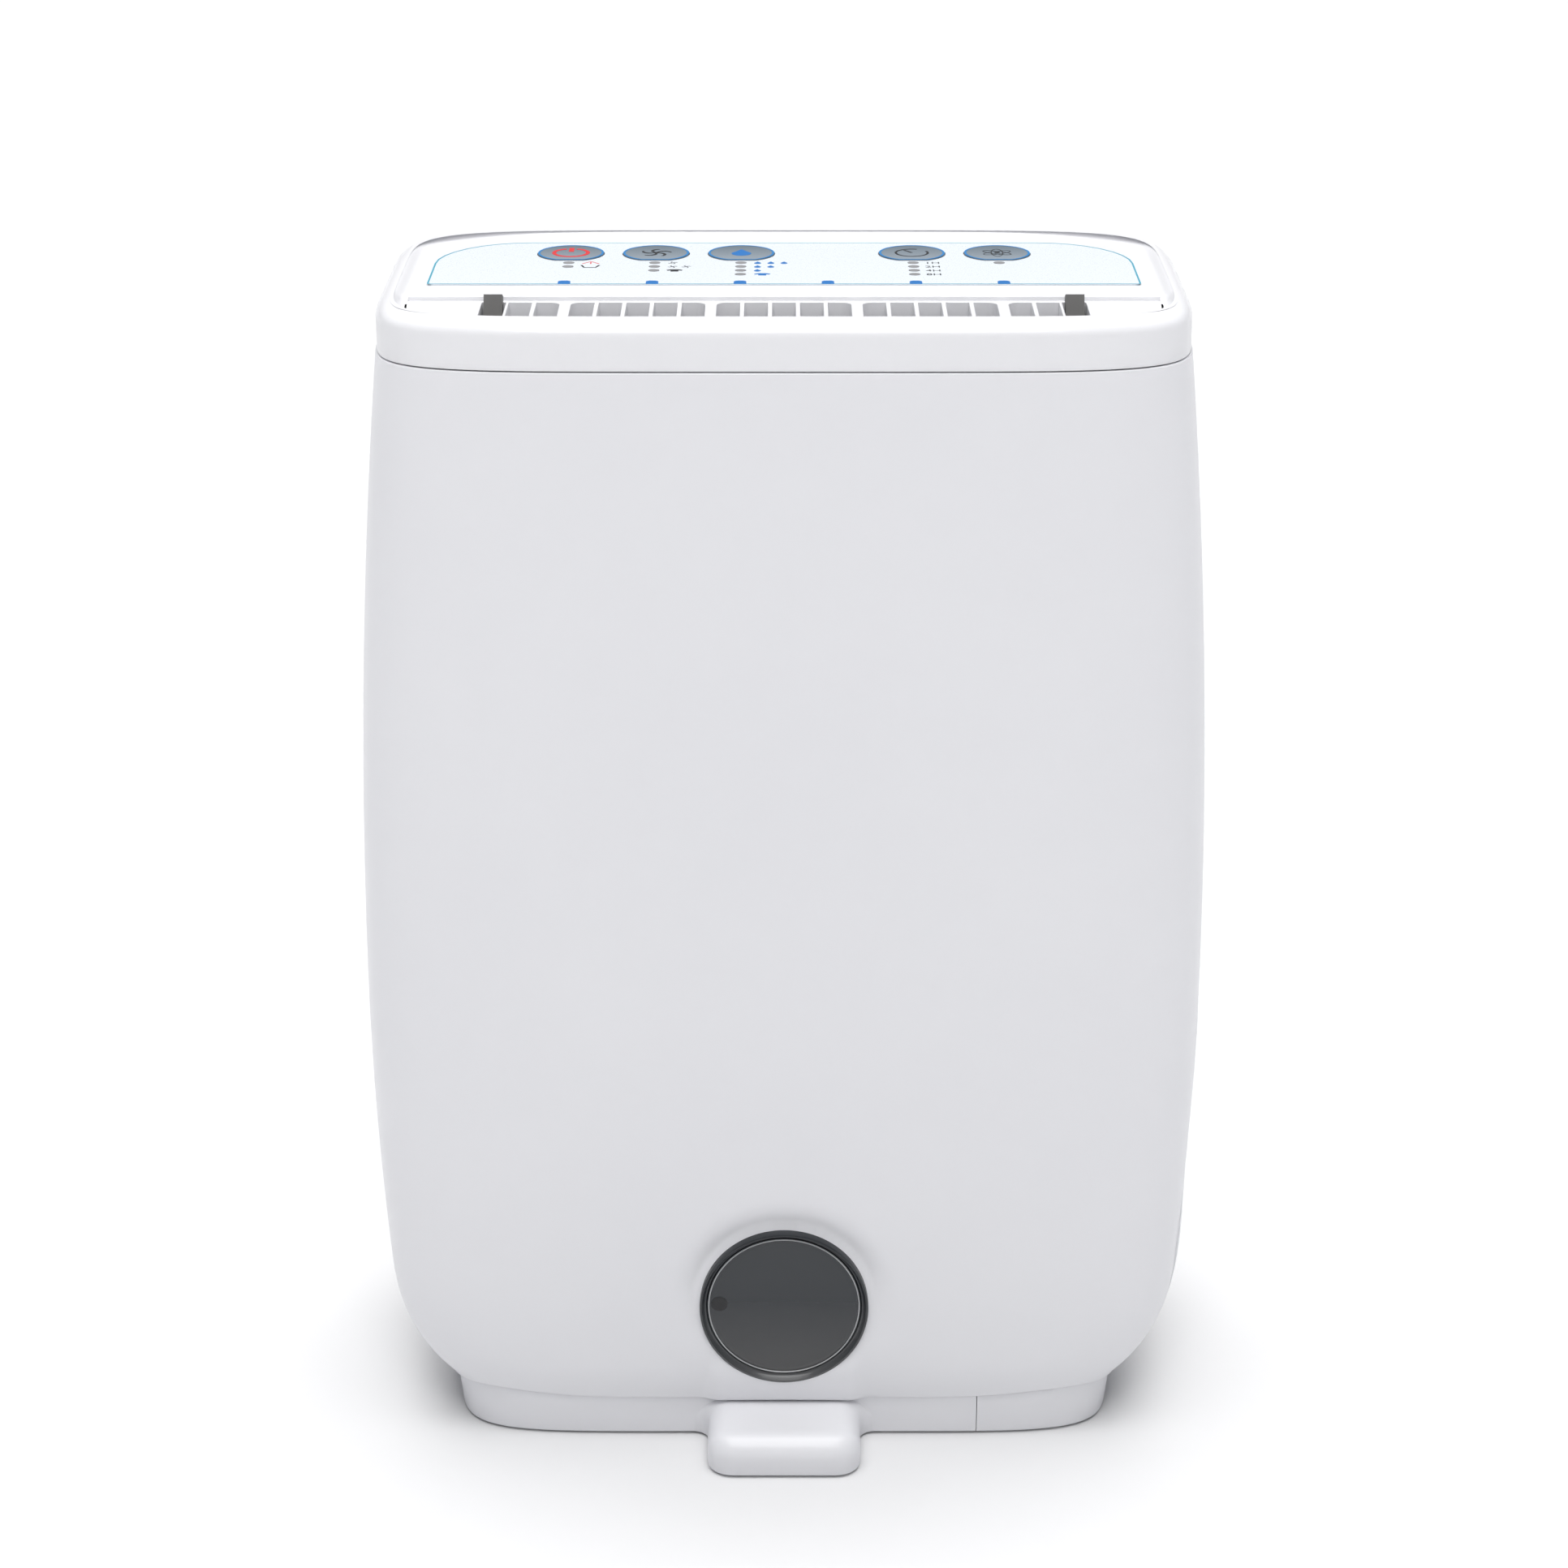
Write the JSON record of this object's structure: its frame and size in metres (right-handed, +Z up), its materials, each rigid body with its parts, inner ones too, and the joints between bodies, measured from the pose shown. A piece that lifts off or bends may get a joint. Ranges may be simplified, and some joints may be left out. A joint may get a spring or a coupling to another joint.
{
  "type": "dehumidifier",
  "caption": "Compact rotor dehumidifier with a side-loading water tank, round level window, top air outlet with a tilting louvre, and push keys on a recessed control panel.",
  "frame": {"origin": "under the middle of the outer box, on the resting plane", "axes": "+X to the right seen from the front, +Y to the back, +Z up; the front with the round window faces -Y"},
  "size_m": [0.3511, 0.1984, 0.492],
  "materials": {
    "black_plastic": "matte",
    "board_green": "solder mask",
    "button_film": "satin",
    "clear_tank": "translucent",
    "desiccant": "matte honeycomb",
    "filter_black": "mesh",
    "foam": "foamed",
    "gear_nylon": "matte",
    "heater_tin": "plated",
    "indicator": "translucent",
    "inner_plastic": "matte",
    "lever_grey": "matte",
    "louvre_grey": "matte",
    "magnet": "matte",
    "overlay_film": "matte film",
    "rubber_pad": "matte",
    "smoked_window": "smoked clear",
    "steel": "zinc plated",
    "white_base": "satin",
    "white_shell": "satin",
    "window_trim": "satin"
  },
  "bodies": {
    "casing": {"base_end_piece": "white_base", "base_pedestal": "white_base", "cable_gland": "black_plastic", "condenser": "clear_tank", "control_board": "board_green", "control_panel": "overlay_film", "drip_tray": "inner_plastic", "fan_motor": "steel", "fan_scroll": "inner_plastic", "float_switch": "black_plastic", "front_housing": "white_shell", "handle_cup": "white_shell", "heater_box": "heater_tin", "heater_element": "steel", "humidity_sensor": "board_green", "indicator_lights": "indicator", "ioniser_module": "black_plastic", "key_switches": "black_plastic", "outlet_duct": "louvre_grey", "outlet_grille": "white_shell", "partition_plate": "inner_plastic", "power_board": "board_green", "power_board_components": "black_plastic", "rear_housing": "white_shell", "regen_fan_housing": "inner_plastic", "regen_fan_motor": "steel", "rotor_axle": "steel", "rotor_frame": "inner_plastic", "rotor_gear_motor": "steel", "rotor_spider": "inner_plastic", "rubber_feet": "rubber_pad", "screws_rear_housing": "steel", "tank_bay_liner": "inner_plastic", "tilt_switch": "black_plastic", "top_cover": "white_shell", "water_window": "smoked_window", "window_bezel": "window_trim"},
    "tank": {"tank_body": "clear_tank", "tank_lid": "inner_plastic", "tank_face": "white_shell", "float_pin": "steel"},
    "float": {"tank_float": "foam", "float_magnet": "magnet"},
    "louvre": {"louvre_blade": "louvre_grey", "louvre_levers": "lever_grey"},
    "rotor": {"rotor_hub": "black_plastic", "desiccant_rotor": "desiccant", "rotor_rim_gear": "gear_nylon"},
    "pinion": {"rotor_pinion": "gear_nylon"},
    "fan": {"fan_impeller": "black_plastic", "fan_shaft": "steel"},
    "regen_fan": {"regen_fan_impeller": "black_plastic"},
    "inlet_panel": {"inlet_grille": "white_shell", "filter_frame": "black_plastic", "filter_mesh": "filter_black"},
    "key_power": {"button_power": "button_film"},
    "key_fan": {"button_fan": "button_film"},
    "key_humidity": {"button_humidity": "button_film"},
    "key_timer": {"button_timer": "button_film"},
    "key_ioniser": {"button_ioniser": "button_film"}
  },
  "joints": [
    {"name": "tank_slide", "type": "slide", "parent": "casing", "child": "tank", "axis": [1, 0, 0], "range_m": [0, 0.3]},
    {"name": "float_hinge", "type": "hinge", "parent": "tank", "child": "float", "pos_m": [-0.06, 0.062, 0.104], "axis": [-1, 0, 0], "range_deg": [0, 25]},
    {"name": "louvre_tilt", "type": "hinge", "parent": "casing", "child": "louvre", "pos_m": [0, -0.029, 0.4635], "axis": [1, 0, 0], "range_deg": [0, 44]},
    {"name": "inlet_panel_slide", "type": "slide", "parent": "casing", "child": "inlet_panel", "axis": [0, 1, 0], "range_m": [0, 0.05]},
    {"name": "rotor_spin", "type": "hinge", "parent": "casing", "child": "rotor", "pos_m": [0, 0.036, 0.3], "axis": [0, 1, 0], "continuous": true},
    {"name": "pinion_spin", "type": "hinge", "parent": "casing", "child": "pinion", "pos_m": [0.11419, 0.036, 0.24675], "axis": [0, 1, 0], "continuous": true},
    {"name": "fan_spin", "type": "hinge", "parent": "casing", "child": "fan", "pos_m": [0, -0.03, 0.3], "axis": [0, 1, 0], "continuous": true},
    {"name": "regen_fan_spin", "type": "hinge", "parent": "casing", "child": "regen_fan", "pos_m": [-0.108, 0.035, 0.418], "axis": [0, 1, 0], "continuous": true},
    {"name": "press_power", "type": "slide", "parent": "casing", "child": "key_power", "axis": [0, 0, -1], "range_m": [0, 0.0008], "stiffness_N_per_m": 500, "springref_m": -0.0004},
    {"name": "press_fan", "type": "slide", "parent": "casing", "child": "key_fan", "axis": [0, 0, -1], "range_m": [0, 0.0008], "stiffness_N_per_m": 500, "springref_m": -0.0004},
    {"name": "press_humidity", "type": "slide", "parent": "casing", "child": "key_humidity", "axis": [0, 0, -1], "range_m": [0, 0.0008], "stiffness_N_per_m": 500, "springref_m": -0.0004},
    {"name": "press_timer", "type": "slide", "parent": "casing", "child": "key_timer", "axis": [0, 0, -1], "range_m": [0, 0.0008], "stiffness_N_per_m": 500, "springref_m": -0.0004},
    {"name": "press_ioniser", "type": "slide", "parent": "casing", "child": "key_ioniser", "axis": [0, 0, -1], "range_m": [0, 0.0008], "stiffness_N_per_m": 500, "springref_m": -0.0004}
  ],
  "couplings": [
    {"joint": "pinion_spin", "follows": "rotor_spin", "ratio": -8}
  ]
}
